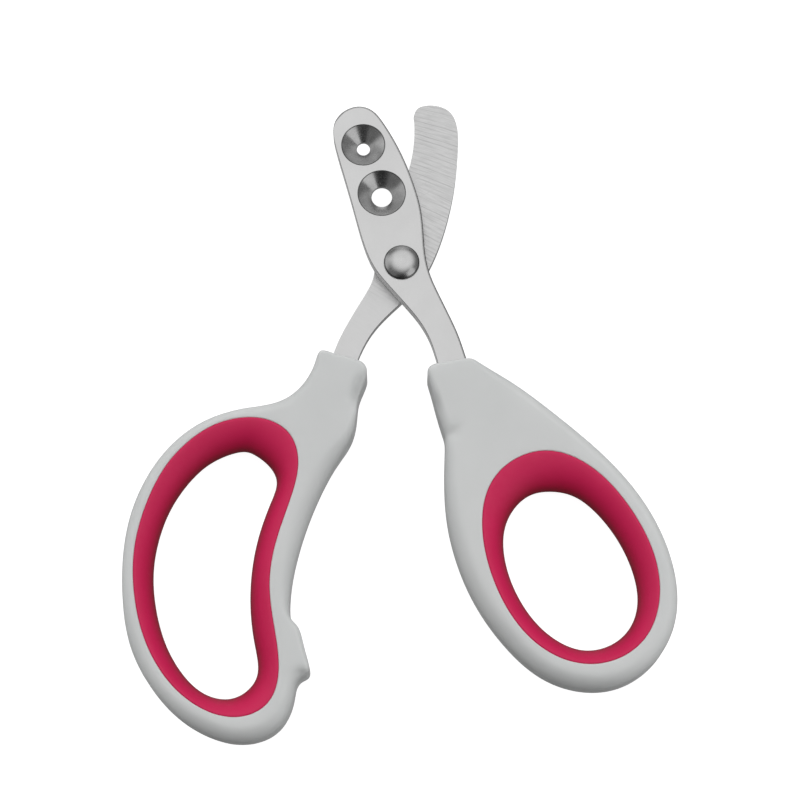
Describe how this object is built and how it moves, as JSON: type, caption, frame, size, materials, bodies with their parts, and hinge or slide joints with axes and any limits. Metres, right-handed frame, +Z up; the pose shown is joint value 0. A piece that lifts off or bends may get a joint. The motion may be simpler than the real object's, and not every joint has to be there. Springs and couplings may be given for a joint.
{
  "type": "pet nail trimmer",
  "caption": "Scissor-style pet nail trimmer: flat guide blade with countersunk claw holes, curved blade on a rivet, white loop handles with pink soft linings.",
  "frame": {"origin": "middle of the overall box, on the surface that the trimmer lies on", "axes": "+Z up out of the table, +Y from the handles towards the blade tips, +X towards the thumb handle's side"},
  "size_m": [0.1028, 0.125, 0.01],
  "materials": {
    "guide_steel": "fine satin stainless steel",
    "cutter_steel": "cross-ground stainless steel",
    "rivet_steel": "polished stainless steel",
    "washer_steel": "plain stainless steel",
    "handle_plastic": "satin off-white moulded plastic",
    "grip_rubber": "soft matt crimson elastomer"
  },
  "bodies": {
    "thumb_side": {"guide_blade": "guide_steel", "pivot_rivet": "rivet_steel", "rivet_washer": "washer_steel", "thumb_handle": "handle_plastic", "thumb_grip": "grip_rubber"},
    "finger_side": {"cutting_blade": "cutter_steel", "finger_handle": "handle_plastic", "finger_grip": "grip_rubber"}
  },
  "joints": [
    {"name": "blade_pivot", "type": "hinge", "parent": "thumb_side", "child": "finger_side", "pos_m": [0.00042, 0.02914, 0.00395], "axis": [0, 0, 1], "range_deg": [-45, 27.5]}
  ]
}
